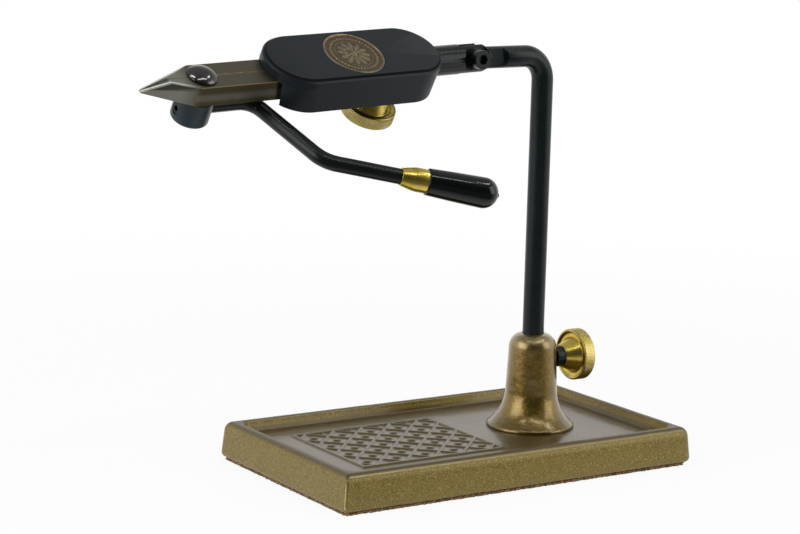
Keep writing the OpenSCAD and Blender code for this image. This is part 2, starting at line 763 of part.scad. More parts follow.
// One jaw on the viewer's side: the plan and side outlines, then the slanted facet
module jaw() {
    big = jaw_tip;
    difference() {
        intersection() {
            translate([0, 0, -jaw_bottom]) linear_extrude(height = jaw_bottom + jaw_top)
                polygon([[jaw_root, jaw_slit / 2], [jaw_tip, jaw_slit / 2],
                    [jaw_tip, jaw_tip_side], [jaw_shoulder, jaw_half_w],
                    [jaw_root, jaw_half_w]]);
            translate([0, jaw_half_w + over, 0]) rotate([quarter_turn, 0, 0])
                linear_extrude(height = jaw_half_w + over * 2)
                polygon([[jaw_root, -jaw_bottom], [jaw_shoulder, -jaw_bottom],
                    [jaw_tip, -jaw_tip_drop - jaw_tip_h / 2], [jaw_tip, jaw_tip_top],
                    [jaw_facet, jaw_top], [jaw_root, jaw_top]]);
        }
        translate([jaw_shoulder, jaw_half_w, jaw_top]) rotate([0, 0, -jaw_side_angle])
            rotate([jaw_side_lean, 0, 0]) translate([-jaw_half_w, 0, -big / 2])
            cube([big, big, big]);
        translate([cam_u - notch_half_l, -over, -jaw_bottom - over])
            cube([notch_half_l * 2, notch_depth + over, jaw_bottom + jaw_top + over * 2]);
        translate([pin_u, pin_v, -jaw_bottom - over])
            cylinder(h = jaw_bottom + jaw_top + over * 2, r = jaw_pin_r + run_fit);
    }
}

module jaw_front() {
    color("lightslategray") at_head() jaw();
}

module jaw_back() {
    color("slategray") at_head() mirror([0, 1, 0]) jaw();
}

module jaw_pins() {
    color("silver") at_head() for (side = [-1, 1])
        translate([pin_u, side * pin_v, -head_bottom + seat_gap])
        cylinder(h = head_bottom + jaw_top + jaw_pin_r - seat_gap * 2, r = jaw_pin_r);
}

// Cam pin: domed head, flatted cam between the jaws, round shank in the hub
module cam_pin() {
    shank_end = hub_bottom - hub_round_r;
    color("dimgray") at_head() translate([cam_u, 0, 0]) {
        difference() {
            translate([0, 0, -shank_end]) cylinder(h = shank_end + dome_foot, r = cam_shank_r);
            for (side = [-1, 1]) translate([0, side * (cam_flat + cam_r), 0])
                translate([-cam_r * 2, -cam_r, -hub_top])
                cube([cam_r * 4, cam_r * 2, hub_top + dome_foot]);
        }
        translate([0, 0, dome_foot]) cylinder(h = dome_edge, r = dome_r);
        intersection() {
            translate([0, 0, dome_foot + dome_edge + dome_h - dome_sphere_r])
                sphere(r = dome_sphere_r);
            translate([0, 0, dome_foot + dome_edge]) cylinder(h = dome_h * 2, r = dome_r);
        }
    }
}

module cam_hub() {
    round_x = hub_r - hub_round_r;
    color("darkslateblue") at_head() translate([cam_u, 0, 0]) difference() {
        translate([0, 0, -hub_bottom]) rotate_extrude() {
            translate([0, hub_round_r]) square([hub_r, hub_h - hub_round_r]);
            square([round_x, hub_round_r]);
            translate([round_x, hub_round_r]) circle(r = hub_round_r);
        }
        translate([0, 0, -hub_bottom + hub_round_r - part_gap])
            cylinder(h = hub_bottom, r = cam_shank_r + seat_gap);
        translate([-hub_r - over, 0, -lever_drop]) along_x()
            cylinder(h = hub_r + over, r = lever_r + seat_gap);
        translate([0, 0, -lever_drop]) along_x()
            cylinder(h = hub_r + over, r = set_screw_r + seat_gap);
    }
}

module hub_set_screw() {
    start = cam_shank_r + seat_gap;
    length = hub_r - start - seat_gap * 4;
    socket_h = length * socket_depth_share;
    color("black") at_head() translate([cam_u + start, 0, -lever_drop]) along_x()
        difference() {
            cylinder(h = length, r = set_screw_r);
            translate([0, 0, length - socket_h])
                cylinder(h = socket_h + over, r = set_screw_r * hex_share, $fn = hex_sides);
        }
}

// Bend of the lever about a corner at the origin, turning from +X towards +Y
module lever_bend(r, turn) {
    translate([-r * tan(turn / 2), r, 0]) rotate([0, 0, -quarter_turn])
        rotate_extrude(angle = turn) translate([r, 0]) circle(r = lever_r + bend_swell);
}

// Straight run of the lever that ends at the origin, coming along +X
module lever_run(length) {
    rotate([0, -quarter_turn, 0]) cylinder(h = length, r = lever_r);
}

lever_trim_1 = lever_bend_1 * tan(lever_turn_1 / 2);
lever_trim_2 = lever_bend_2 * tan(lever_turn_2 / 2);
rod_start = cam_shank_r + seat_gap;
rod_end = lever_third - grip_end_r;

module lever_rod() {
    color("dimgray") {
        at_head() translate([cam_u, 0, -lever_drop]) rotate([0, 0, half_turn])
            translate([lever_first, 0, 0]) {
                translate([bend_lap - lever_trim_1, 0, 0])
                    lever_run(lever_first - lever_trim_1 + bend_lap - rod_start);
                mirror([0, 1, 0]) lever_bend(lever_bend_1, lever_turn_1);
                rotate([0, 0, -lever_turn_1]) translate([lever_second, 0, 0]) {
                    translate([bend_lap - lever_trim_2, 0, 0])
                        lever_run(lever_second - lever_trim_1 - lever_trim_2 + bend_lap * 2);
                    lever_bend(lever_bend_2, lever_turn_2);
                }
            }
        at_grip_line() translate([0, 0, lever_trim_2 - bend_lap])
            cylinder(h = rod_end - lever_trim_2 + bend_lap, r = lever_r);
    }
}

grip_start = lever_third - grip_l;

module lever_ferrule() {
    flare_share = 0.5;
    start = grip_start - ferrule_l;
    color("gold") at_grip_line() rotate_extrude()
        polygon([[lever_r + seat_gap, start], [ferrule_thin_r, start],
            [ferrule_r, start + ferrule_l * flare_share], [ferrule_r, grip_start],
            [lever_r + seat_gap, grip_start]]);
}

module lever_grip() {
    color("black") at_grip_line() difference() {
        union() {
            translate([0, 0, grip_start])
                cylinder(h = grip_l - grip_end_r - grip_drop_r / 2, r1 = grip_start_r, r2 = grip_end_r);
            translate([0, 0, lever_third - grip_end_r - grip_drop_r / 2]) sphere(r = grip_end_r);
            translate([0, 0, lever_third - grip_drop_r]) sphere(r = grip_drop_r);
        }
        translate([0, 0, grip_start - over])
            cylinder(h = rod_end - grip_start + over + seat_gap, r = lever_r + seat_gap);
    }
}

base_casting();
cork_pad();
pedestal();
pedestal_screw();
thumb_screw();
thumb_knob();
screw_tip();
stem();
stem_o_ring();
head_shaft();
clevis_screw();
clevis_washer();
head_body();
medallion();
tension_knob();
tension_stud();
tension_shoe();
jaw_front();
jaw_back();
jaw_pins();
cam_pin();
cam_hub();
hub_set_screw();
lever_rod();
lever_ferrule();
lever_grip();
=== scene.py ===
# Fly tying vise, dressed piece by piece in the order in which it is put together.
# Lengths are in millimetres until a mesh is made, and then in metres.
import math
from math import radians

import bmesh
import bpy
import numpy as np
from mathutils import Matrix, Vector, noise


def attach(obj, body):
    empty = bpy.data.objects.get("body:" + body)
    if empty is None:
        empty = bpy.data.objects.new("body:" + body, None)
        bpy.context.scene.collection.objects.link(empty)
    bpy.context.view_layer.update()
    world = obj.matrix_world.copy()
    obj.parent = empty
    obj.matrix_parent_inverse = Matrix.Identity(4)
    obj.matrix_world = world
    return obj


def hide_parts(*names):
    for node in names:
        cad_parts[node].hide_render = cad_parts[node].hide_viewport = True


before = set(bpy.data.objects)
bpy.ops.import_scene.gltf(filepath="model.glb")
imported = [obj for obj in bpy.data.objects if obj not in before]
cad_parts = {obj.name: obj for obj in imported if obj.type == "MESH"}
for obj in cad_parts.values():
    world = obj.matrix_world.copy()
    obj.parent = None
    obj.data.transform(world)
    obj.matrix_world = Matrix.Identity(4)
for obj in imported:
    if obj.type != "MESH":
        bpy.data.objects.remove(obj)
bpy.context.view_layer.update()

# Camera.
# The viewer stands off the tray's front left corner, a little above the jaws, with a
# long lens. Yaw runs from +Y towards +X; the roll is the slight lean of the picture.
view_yaw, view_pitch, view_roll = radians(33.059), radians(9.899), radians(1.503)
view_from = Vector((-555.56, -803.87, 256.34)) / 1000
focal_pixels, picture_width, sensor_width = 2287.9, 800, 36

forward = Vector((math.sin(view_yaw) * math.cos(view_pitch),
                  math.cos(view_yaw) * math.cos(view_pitch), -math.sin(view_pitch)))
level = Vector((math.cos(view_yaw), -math.sin(view_yaw), 0))
upright = level.cross(forward)
right = level * math.cos(view_roll) + upright * math.sin(view_roll)
up = upright * math.cos(view_roll) - level * math.sin(view_roll)
camera = bpy.data.objects.new("camera", bpy.data.cameras.new("camera"))
camera.data.sensor_width = sensor_width
camera.data.lens = focal_pixels * sensor_width / picture_width
camera.matrix_world = Matrix.Translation(view_from) @ Matrix(
    (right, up, -forward)).transposed().to_4x4()
bpy.context.scene.collection.objects.link(camera)
bpy.context.scene.camera = camera

# Base casting.
# A heavy sand-cast bronze slab with a shallow tray in its top, so that it stays put on
# the table. Its sides lean in a little to leave the mould, and every edge is soft.
base_half_l, base_half_w = 90.65, 53.6
base_foot, base_top, tray_floor = 1.25, 16.6, 12.0
edge_r, foot_r, crisp_r, base_draft, rim_w = 4.0, 2.2, 1.3, 1.8, 7.4
tray_corner_r, tray_edge_r, tray_fillet_r, tray_lean = 5.0, 1.2, 1.2, 1.1
along, across, arc = 340, 190, 7  # mesh steps on a long side, a short side, half a corner


class Wire:
    """A socket of a finish. Arithmetic on it adds Math nodes, and node() any other."""

    def __init__(self, socket):
        self.socket = socket

    def node(self, kind, settings, inputs, out=0):
        tree = self.socket.id_data
        made = tree.nodes.new(kind)
        for name, value in settings.items():
            setattr(made, name, value)
        for name, value in inputs.items():
            if isinstance(value, Wire):
                tree.links.new(value.socket, made.inputs[name])
            else:
                made.inputs[name].default_value = value
        return Wire(made.outputs[out])

    def math(self, operation, *values):
        return self.node("ShaderNodeMath", {"operation": operation},
                         dict(enumerate(values)))

    def into(self, shader, name):
        self.socket.id_data.links.new(self.socket, shader.inputs[name])

    def __add__(self, other):
        return self.math("ADD", self, other)

    def __sub__(self, other):
        return self.math("SUBTRACT", self, other)

    def __rsub__(self, other):
        return self.math("SUBTRACT", other, self)

    def __mul__(self, other):
        return self.math("MULTIPLY", self, other)

    def __pow__(self, other):
        return self.math("POWER", self, other)

    def __abs__(self):
        return self.math("ABSOLUTE", self)

    __radd__, __rmul__ = __add__, __mul__


def shade(red, green, blue):
    """A colour as the eye reads it, from 0 to 255, for a shader's socket."""
    return tuple((c / 255 / 12.92) if c < 11 else ((c / 255 + 0.055) / 1.055) ** 2.4
                 for c in (red, green, blue)) + (1,)


def finish_of(name, fixed):
    """A finish with its fixed values, its shader, and the place on the piece as a wire."""
    made = bpy.data.materials.new(name)
    made.use_nodes = True
    shader = made.node_tree.nodes["Principled BSDF"]
    for socket, value in fixed.items():
        shader.inputs[socket].default_value = value
    place = Wire(shader.outputs[0]).node("ShaderNodeTexCoord", {}, {}, "Object")
    return made, shader, place


def grain(place, size, detail=2.0, rough=0.5, stretch=(1, 1, 1)):
    """Noise from 0 to 1 with spots about size mm across, drawn out along stretch."""
    if stretch != (1, 1, 1):
        place = place.node("ShaderNodeVectorMath", {"operation": "DIVIDE"},
                           {0: place, 1: stretch})
    return place.node("ShaderNodeTexNoise", {}, {
        "Vector": place, "Scale": 1000 / size, "Detail": detail, "Roughness": rough})


def step(mask, low, high):
    """The mask as a soft step, from 0 at low to 1 at high."""
    return mask.node("ShaderNodeMapRange", {"interpolation_type": "SMOOTHSTEP"}, {
        "Value": mask, "From Min": low, "From Max": high})


def tint(mask, low, high):
    """One colour where the mask is 0 and the other where it is 1."""
    return mask.node("ShaderNodeMix", {"data_type": "RGBA"}, {0: mask, 6: low, 7: high}, 2)


def axis(place, letter):
    """One coordinate of the place, in mm."""
    return place.node("ShaderNodeSeparateXYZ", {}, {0: place}, letter) * 1000


def dot(vector, direction):
    """How far a vector reaches in a direction."""
    return vector.node("ShaderNodeVectorMath", {"operation": "DOT_PRODUCT"},
                       {0: vector, 1: direction}, "Value")


def bump(shader, height, depth):
    """Raises the finish by height, which runs from 0 to 1, times a depth in mm."""
    height.node("ShaderNodeBump", {}, {"Height": height, "Distance": depth / 1000}
                ).into(shader, "Normal")


def piece_of(name, points, faces, crease=32):
    """A smooth piece from points in mm, with its faces turned outwards."""
    mesh = bpy.data.meshes.new(name)
    mesh.from_pydata((np.asarray(points, float) / 1000).tolist(), [], faces)
    net = bmesh.new()
    net.from_mesh(mesh)
    bmesh.ops.recalc_face_normals(net, faces=net.faces)
    net.to_mesh(mesh)
    net.free()
    mesh.shade_smooth()
    mesh.set_sharp_from_angle(angle=radians(crease))
    piece = bpy.data.objects.new(name, mesh)
    bpy.context.scene.collection.objects.link(piece)
    return piece


def roughened(piece, coarse, fine, depth, seed=0):
    """Moves the piece's points in and out as sand does, by up to depth mm."""
    mesh = piece.data
    where = np.empty(len(mesh.vertices) * 3, np.float32)
    outward = np.empty(len(mesh.vertices) * 3, np.float32)
    mesh.vertices.foreach_get("co", where)
    mesh.vertex_normals.foreach_get("vector", outward)
    where, outward = where.reshape(-1, 3), outward.reshape(-1, 3)
    shift = np.array([0.6 * noise.noise(Vector(p) * (1000 / coarse) + Vector((seed,) * 3))
                      + 0.4 * noise.noise(Vector(p) * (1000 / fine)) for p in where])
    where += outward * (shift * depth / 1000)[:, None]
    mesh.vertices.foreach_set("co", where.ravel())
    mesh.update()


def fitted(piece, finish, body, node, at=None):
    """Finishes the piece, sets it in place on its body and lets it stand for its node."""
    piece.data.materials.clear()
    piece.data.materials.append(finish)
    if at is not None:
        piece.matrix_world = at
    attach(piece, body)
    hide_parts(node)


def ring(half_l, half_w, radii, z, along, across, arc):
    """A rounded rectangle as a ring of points from its left front corner, with a radius
    for each corner, or one for all four."""
    radii = radii if isinstance(radii, tuple) else (radii,) * 4
    middles = [Vector((x * (half_l - r), y * (half_w - r))) for x, y, r in zip(
        (-1, 1, 1, -1), (-1, -1, 1, 1), radii)]
    points = []
    for side in range(4):
        start, end = middles[side], middles[(side + 1) % 4]
        start_r, end_r = radii[side], radii[(side + 1) % 4]
        facing = radians(-90 + 90 * side)
        out = Vector((math.cos(facing), math.sin(facing)))
        count = (along, across)[side % 2]
        for k in range(arc):
            turn = facing - radians(45) * (1 - k / arc)
            points.append(start + Vector((math.cos(turn), math.sin(turn))) * start_r)
        points += [(start + out * start_r).lerp(end + out * end_r, k / count)
                   for k in range(count)]
        for k in range(arc):
            turn = facing + radians(45) * k / arc
            points.append(end + Vector((math.cos(turn), math.sin(turn))) * end_r)
    return [(point.x, point.y, z) for point in points]


def bands(rings, around, first=0):
    """The faces between each ring of points and the next."""
    return [(first + r * around + k, first + r * around + (k + 1) % around,
             first + (r + 1) * around + (k + 1) % around, first + (r + 1) * around + k)
            for r in range(rings - 1) for k in range(around)]


def soft(distance, half, blur):
    """1 within half of a line and 0 beyond it, with a slope as wide as blur between."""
    return min(1.0, max(0.0, (half - distance) / blur + 0.5))


def dome(distance, radius):
    """Height of a half ball, from 1 over its middle to 0 at its radius."""
    return math.sqrt(max(0.0, 1 - (distance / radius) ** 2))


# The relief in the tray's floor is a plain lattice of soft ridges with a stud in each
# diamond, inside a frame. It is cast in, so its edges melt into the floor.
field_x, field_half_l, field_half_w, lattice_pitch = -31.275, 35.975, 30.2, 14.5
frame_w, line_w, stud_r, relief_h, relief_blur = 2.0, 1.3, 2.0, 0.7, 0.7


def relief(x, y):
    """Height of the cast pattern over the tray's floor, in mm."""
    x = x - field_x
    pitch, diagonal = lattice_pitch, math.sqrt(0.5)
    edge = max(abs(x) - field_half_l, abs(y) - field_half_w)
    frame_line = soft(abs(edge + frame_w / 2), frame_w / 2, relief_blur)
    if edge >= -frame_w / 2:
        return frame_line * relief_h
    one = (x + y + pitch / 2) % pitch - pitch / 2
    two = (x - y + pitch / 2) % pitch - pitch / 2
    lattice = soft(min(abs(one), abs(two)) * diagonal, line_w / 2, relief_blur) * 0.9
    away = math.hypot((x + y) % pitch - pitch / 2, (x - y) % pitch - pitch / 2) * diagonal
    room = frame_w + stud_r * 2 - pitch / 4
    stud = 0.0
    if abs(x) < field_half_l - room and abs(y) < field_half_w - room:
        stud = soft(away, stud_r - 0.2, 0.8) * 0.55 + dome(away, stud_r - 0.4) * 0.5
    return max(frame_line, lattice, stud) * relief_h


lean = math.atan2(base_draft, base_top - base_foot)
corner_r = (edge_r + (base_top - base_foot - edge_r) * math.sin(lean)) / math.cos(lean)
tray_l, tray_w = base_half_l - rim_w - tray_corner_r, base_half_w - rim_w - tray_corner_r
tray_edge_z, fillet_z = base_top - tray_edge_r, tray_floor + tray_fillet_r
shoulder_z = base_top - edge_r + edge_r * math.sin(lean)


def outer(inset, z):
    """A level of the outside. The front left corner is ground crisp, the rest are round."""
    return (base_half_l - inset, base_half_w - inset,
            (crisp_r,) + (corner_r - inset,) * 3, z)


def inner(r, z):
    """A level of the tray, at a distance of r from the middles of its corners."""
    return tray_l + r, tray_w + r, r, z


# The levels run up the foot's rounding and the side, over the rim's outer edge and its
# inner edge, and down the tray's wall and fillet.
levels = [outer(foot_r * (1 - math.cos(a)) + foot_r * (1 - math.sin(a)) * math.tan(lean),
                base_foot + foot_r * (1 - math.sin(a))) for a in np.linspace(radians(90), 0, 6)]
levels += [outer((z - base_foot) * math.tan(lean), z)
           for z in np.linspace(base_foot + foot_r, shoulder_z, 18)[1:]]
levels += [outer(corner_r - edge_r * math.cos(a), base_top - edge_r + edge_r * math.sin(a))
           for a in np.linspace(lean, radians(84), 10)[1:]]
levels += [inner(tray_corner_r + tray_edge_r * (1 - math.cos(a)),
                 base_top - tray_edge_r * (1 - math.sin(a)))
           for a in np.linspace(radians(90), 0, 6)]
levels += [inner(tray_corner_r - tray_lean * t, tray_edge_z + (fillet_z - tray_edge_z) * t)
           for t in (0.33, 0.67)]
levels += [inner(tray_corner_r - tray_lean - tray_fillet_r * (1 - math.cos(a)),
                 tray_floor + tray_fillet_r * (1 - math.sin(a)))
           for a in np.linspace(0, radians(90), 6)]
points = [p for level_of in levels for p in ring(*level_of, along, across, arc)]
around = len(points) // len(levels)
faces = bands(len(levels), around) + [tuple(range(around))]

# The floor is a grid whose edge is the last ring; its corners are bent to the arcs.
floor_r = levels[-1][2]
columns, rows = along + 2 * arc, across + 2 * arc
number = {}
for k in range(around):
    if k < columns:
        spot = (k, 0)
    elif k < columns + rows:
        spot = (columns, k - columns)
    elif k < 2 * columns + rows:
        spot = (2 * columns + rows - k, rows)
    else:
        spot = (0, around - k)
    number[spot] = (len(levels) - 1) * around + k


def floor_spot(i, j):
    """Where a point of the grid lies. Past the sides, its corners turn into arcs."""
    def part(n, count, half):
        """A place along one side, and how far it is into a corner, from -1 to 1."""
        if n < arc:
            return -half, -(1 - n / arc)
        if n > count - arc:
            return half, (n - count + arc) / arc
        return -half + 2 * half * (n - arc) / (count - 2 * arc), 0.0
    x, p = part(i, columns, tray_l)
    y, q = part(j, rows, tray_w)
    reach = max(abs(p), abs(q))
    if p and q:
        small, large = sorted((abs(p), abs(q)))
        turn = radians(45) * small / large
        turn = turn if abs(p) > abs(q) else radians(90) - turn
        return (x + math.copysign(floor_r * reach * math.cos(turn), p),
                y + math.copysign(floor_r * reach * math.sin(turn), q))
    return x + floor_r * p, y + floor_r * q


for j in range(1, rows):
    for i in range(1, columns):
        x, y = floor_spot(i, j)
        number[i, j] = len(points)
        points.append((x, y, tray_floor + relief(x, y)))
faces += [(number[i, j], number[i + 1, j], number[i + 1, j + 1], number[i, j + 1])
          for j in range(rows) for i in range(columns)]
base = piece_of("cast_base", points, faces, crease=60)
roughened(base, 16, 3.2, 0.1)

sand_bronze, shader, place = finish_of("sand cast bronze", {
    "Metallic": 0.62, "Coat Roughness": 0.16, "Coat IOR": 1.5})
sand = grain(place, 0.62, 2.0, 0.6)
patch = grain(place, 11, 4.0, 0.6)
wave = grain(place, 3.4, 2.0)
wall_l, wall_w, wall_z = (83.2, 81.6), (46.1, 44.6), (15.4, 13.6)
in_tray = (step(abs(axis(place, "X")), *wall_l) * step(abs(axis(place, "Y")), *wall_w)
           * step(axis(place, "Z"), *wall_z))
body = tint(patch, shade(109, 92, 30), shade(125, 107, 44))
speckled = tint(step(sand, 0.5, 0.74), body, shade(158, 140, 86))
speckled = tint(step(sand, 0.46, 0.28), speckled, shade(86, 70, 24))
floor_brown = tint(patch, shade(82, 68, 30), shade(92, 76, 36))
# Painted highlight on the crisp corner and the front's top edge; painted shade on the top.
crisp_corner = Vector((-0.75, -0.66, 0)).normalized()
front_edge = Vector((0, -0.62, 0.78)).normalized()
facing = place.node("ShaderNodeNewGeometry", {}, {}, "Normal")
painted_edge_highlight = (step(dot(facing, crisp_corner), 0.955, 0.99)
          + step(dot(facing, front_edge), 0.975, 0.998) * 0.75)
speckled = tint(painted_edge_highlight * (0.35 + 0.5 * sand), speckled, shade(206, 196, 150))
# Faces that look up are painted darker, as shade.
upward = facing.node("ShaderNodeSeparateXYZ", {}, {0: facing}, "Z")
speckled = tint(step(upward, 0.6, 0.95) * 0.85, speckled, shade(78, 64, 30))
tint(in_tray, speckled, floor_brown).into(shader, "Base Color")
(0.44 + 0.16 * sand - in_tray * 0.1).into(shader, "Roughness")
(0.34 + in_tray * 0.22).into(shader, "Coat Weight")
bump(shader, (sand * 0.6 + wave * 0.6) * (1.0 - 0.8 * in_tray) + patch * 0.3, 0.1)
fitted(base, sand_bronze, "base", "base_casting")

# Cork pad.
# A sheet of pressed cork glued under the casting, cut by hand, so that its edge frays
# and crumbs of it stand out past the metal here and there.
cork_half_l, cork_half_w, cork_t = 88.9, 52.0, 1.25
cork_corners = (1.8, 6.0, 6.0, 6.0)
layers = [(-0.3, 0.0), (0.0, 0.12), (0.0, 0.4), (0.0, 0.75), (0.0, 1.1), (-0.25, cork_t)]
points = []
for inset, z in layers:
    points += ring(cork_half_l + inset, cork_half_w + inset, cork_corners, z, 500, 300, 8)
around = len(points) // len(layers)
frayed = []
# A high power of the place points straight out of each side, and turns at the corners.
side_power = 12
for x, y, z in points:
    crumb = noise.noise(Vector((x, y, z * 1.5)) * 0.9) + 0.6 * noise.noise(
        Vector((x, y, z * 2)) * 2.3)
    out = Vector((x / cork_half_l, y / cork_half_w))
    out = Vector((math.copysign(abs(out.x) ** side_power, x),
                  math.copysign(abs(out.y) ** side_power, y))).normalized()
    shift = max(-0.5, min(0.62, crumb * 0.75)) + 0.1
    frayed.append((x + out.x * shift, y + out.y * shift, z))
faces = bands(len(layers), around) + [
    tuple(range(around)), tuple(range(len(points) - around, len(points)))]
cork = piece_of("cork_sheet", frayed, faces, crease=50)
cork_finish, shader, place = finish_of("pressed cork", {"Roughness": 0.85})
crumbs = place.node("ShaderNodeTexVoronoi", {"feature": "F1"},
                    {"Vector": place, "Scale": 900}, "Color")
crumb = crumbs.node("ShaderNodeSeparateColor", {}, {0: crumbs}, 0)
colour = tint(crumb, shade(112, 86, 52), shade(168, 134, 94))
tint(step(grain(place, 0.7, 2.0), 0.5, 0.62), colour, shade(78, 58, 30)).into(
    shader, "Base Color")
bump(shader, crumb * 0.6 + grain(place, 0.4), 0.3)
fitted(cork, cork_finish, "base", "cork_pad")

# Pedestal.
# A bell-shaped bronze casting that holds the stem. It is buffed and lacquered, so that
# it shines over the ripples that the sand left, and a screw holds it from below.
stem_x = 39.2
bell_foot_r, bell_lip, bell_waist_r, bell_waist_h = 19.6, 1.2, 11.5, 17.0
bell_shoulder_r, bell_shoulder_h, bell_round_r = 10.6, 35.9, 6.3
bore_r, bore_depth = 4.82, 32.0


def turned(name, outline, sides, crease=40):
    """A piece turned about its own Z from an outline of (radius, height) in mm."""
    points, rings = [], []
    for r, z in outline:
        rings.append((len(points), r > 1e-6))
        points += [(r * math.cos(math.tau * k / sides), r * math.sin(math.tau * k / sides), z)
                   for k in range(sides)] if r > 1e-6 else [(0, 0, z)]
    pairs = list(zip(rings, rings[1:]))
    if outline[0][0] > 1e-6:
        pairs.append((rings[-1], rings[0]))
    faces = []
    for (a, wide_a), (b, wide_b) in pairs:
        for k in range(sides):
            n = (k + 1) % sides
            if wide_a and wide_b:
                faces.append((a + k, a + n, b + n, b + k))
            elif wide_a:
                faces.append((a + k, a + n, b))
            elif wide_b:
                faces.append((a, b + n, b + k))
    return piece_of(name, points, faces, crease)


def moved(x, y, z):
    """A shift in mm."""
    return Matrix.Translation((x / 1000, y / 1000, z / 1000))


flare_r = ((bell_foot_r - bell_waist_r) ** 2 + (bell_waist_h - bell_lip) ** 2) / (
    bell_foot_r - bell_waist_r) / 2
flare_end = math.asin((bell_waist_h - bell_lip) / flare_r)
outline = [(0, 0.0), (bell_foot_r - 0.6, 0.0), (bell_foot_r - 0.1, 0.15), (bell_foot_r, 0.6)]
outline += [(bell_waist_r + flare_r * (1 - math.cos(a)), bell_waist_h - flare_r * math.sin(a))
            for a in np.linspace(flare_end * 0.985, 0, 26)]
outline += [(bell_waist_r + (bell_shoulder_r - bell_waist_r) * t,
             bell_waist_h + (bell_shoulder_h - bell_waist_h) * t)
            for t in np.linspace(0, 1, 28)[1:]]
outline += [(bell_shoulder_r - bell_round_r * (1 - math.cos(a)),
             bell_shoulder_h + bell_round_r * math.sin(a))
            for a in np.linspace(0, radians(80), 14)[1:]]
top_z = bell_shoulder_h + bell_round_r
outline += [(bore_r + 0.33, top_z - 0.02), (bore_r + 0.08, top_z - 0.12), (bore_r, top_z - 0.4),
            (bore_r, top_z - bore_depth), (0, top_z - bore_depth)]
bell = turned("cast_pedestal", outline, 180, crease=60)
roughened(bell, 6.5, 2.4, 0.16, seed=7)
bell_finish, shader, place = finish_of("lacquered cast bronze", {
    "Metallic": 0.93, "Coat Weight": 0.9, "Coat Roughness": 0.2, "Coat IOR": 1.5})
ripple = grain(place, 2.2, 2.5, 0.55)
sand = grain(place, 0.6, 2.0, 0.6)
patch = grain(place, 8, 3.0)
colour = tint(patch, shade(110, 87, 20), shade(124, 100, 30))
# The shoulder is painted pale as a highlight and the flare dark as painted shade.
height, painted_highlight_above, painted_shade_below = axis(place, "Z"), (33, 41), (13, 4)
colour = tint(step(height, *painted_highlight_above) * 0.6, colour, shade(152, 138, 100))
colour = tint(step(height, *painted_shade_below) * 0.5, colour, shade(90, 72, 24))
colour = tint(step(sand, 0.56, 0.76), colour, shade(154, 136, 80))
tint(step(sand, 0.42, 0.26), colour, shade(84, 66, 16)).into(shader, "Base Color")
(0.24 + 0.14 * ripple).into(shader, "Roughness")
bump(shader, ripple * 0.8 + sand * 0.35, 0.2)
fitted(bell, bell_finish, "base", "pedestal", moved(stem_x, 0, tray_floor))

# Stem.
# A length of steel rod, bent once and given a black oxide skin. Its foot turns and
# slides in the pedestal's bore, and its far end is milled to a tongue for the head.


def blacked(name, colour, sheen):
    """Steel in a black oxide skin, a little cloudy and finely speckled."""
    made, shader, place = finish_of(name, {"Specular IOR Level": 0.26})
    cloud = grain(place, 6, 3.0)
    dust = grain(place, 0.5, 2.0, 0.6)
    tint(cloud * 0.6 + dust * 0.4, shade(*[c * 0.72 for c in colour]),
         shade(*[c * 1.25 for c in colour])).into(shader, "Base Color")
    (sheen + 0.14 * (cloud - 0.5) + 0.12 * (dust - 0.5)).into(shader, "Roughness")
    bump(shader, dust * 0.6 + cloud * 0.4, 0.02)
    return made


def carved(name, node, edge, at=Matrix.Identity(4), crease=28):
    """A node's exact shape as a piece in its own frame, with its sharp edges broken."""
    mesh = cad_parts[node].data.copy()
    mesh.name = name
    mesh.transform(at.inverted())
    net = bmesh.new()
    net.from_mesh(mesh)
    bmesh.ops.remove_doubles(net, verts=net.verts, dist=2e-6)
    bmesh.ops.dissolve_limit(net, angle_limit=radians(0.4), verts=net.verts,
                             edges=net.edges)
    net.to_mesh(mesh)
    net.free()
    mesh.shade_smooth()
    mesh.set_sharp_from_angle(angle=radians(crease))
    piece = bpy.data.objects.new(name, mesh)
    bpy.context.scene.collection.objects.link(piece)
    if edge:
        worn = piece.modifiers.new("broken edges", "BEVEL")
        worn.limit_method, worn.angle_limit = "ANGLE", radians(crease)
        worn.width, worn.segments, worn.harden_normals = edge / 1000, 2, True
    return piece


def painted(node, finish):
    """Gives a node of the frame its finish."""
    for material_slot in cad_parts[node].material_slots:
        material_slot.material = finish


stem_steel = blacked("black oxide steel", (13, 21, 21), 0.28)
fitted(carved("bent_rod", "stem", 0.25), stem_steel, "bent_stem", "stem")

# The ring sits in a groove of the stem, and gives the stem its drag in the bore. The
# screw comes up through the base into the pedestal.
rubber, shader, place = finish_of("black rubber", {"Base Color": shade(22, 22, 23)})
(0.5 + 0.2 * grain(place, 0.6)).into(shader, "Roughness")
painted("stem_o_ring", rubber)
painted("pedestal_screw", stem_steel)

# Thumbscrews.
# Two alike: a blacked stud with a collar, and a dished brass knob turned on it, with a
# cone in its dish and a finely knurled rim. One locks the stem, one drags on the head.
knob_r, knob_cone_r, knob_cone_l, knob_dish_r = 11.5, 8.0, 6.7, 9.5
knob_rim_h, knob_lip, knob_back_t, collar_r, thread_r = 5.7, 1.0, 1.4, 4.7, 2.9
knurls, thread_pitch, thread_depth = 110, 0.8, 0.35
knob_start, knob_back = knob_cone_l - knob_lip, knob_cone_l - knob_lip + knob_rim_h


